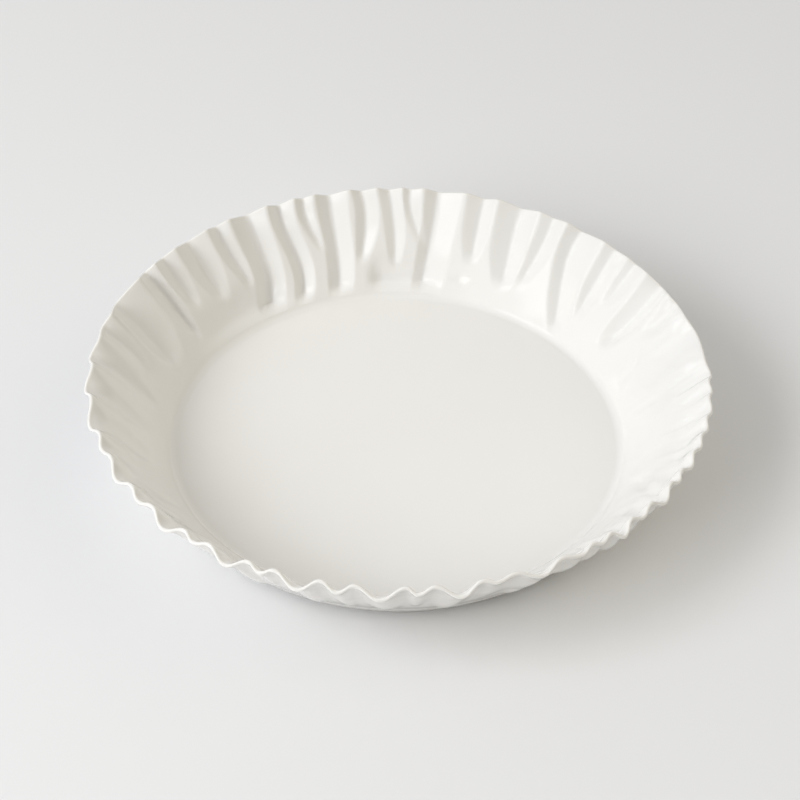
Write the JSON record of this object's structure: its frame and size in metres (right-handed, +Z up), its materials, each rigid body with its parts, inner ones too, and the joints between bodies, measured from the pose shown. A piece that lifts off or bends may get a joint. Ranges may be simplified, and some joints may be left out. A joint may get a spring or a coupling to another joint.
{
  "type": "fluted baking dish",
  "caption": "Shallow round glazed ceramic baking dish: flat floor on a bare foot ring, and a flared wall crimped into irregular pleats up to a thin wavy rim.",
  "frame": {"origin": "middle of the dish, on the surface that its foot ring stands on", "axes": "+Z up out of the open mouth; -Y is the side towards the viewer of the reference picture, +X is to its right"},
  "size_m": [0.281, 0.2798, 0.0515],
  "materials": {
    "white_glaze": "glossy warm white glaze",
    "bare_clay": "unglazed fired clay, wiped clean of glaze"
  },
  "bodies": {
    "root": {"floor_disc": "white_glaze", "fluted_wall": "white_glaze", "corner_coil": "white_glaze", "foot_ring": "bare_clay"}
  },
  "joints": []
}
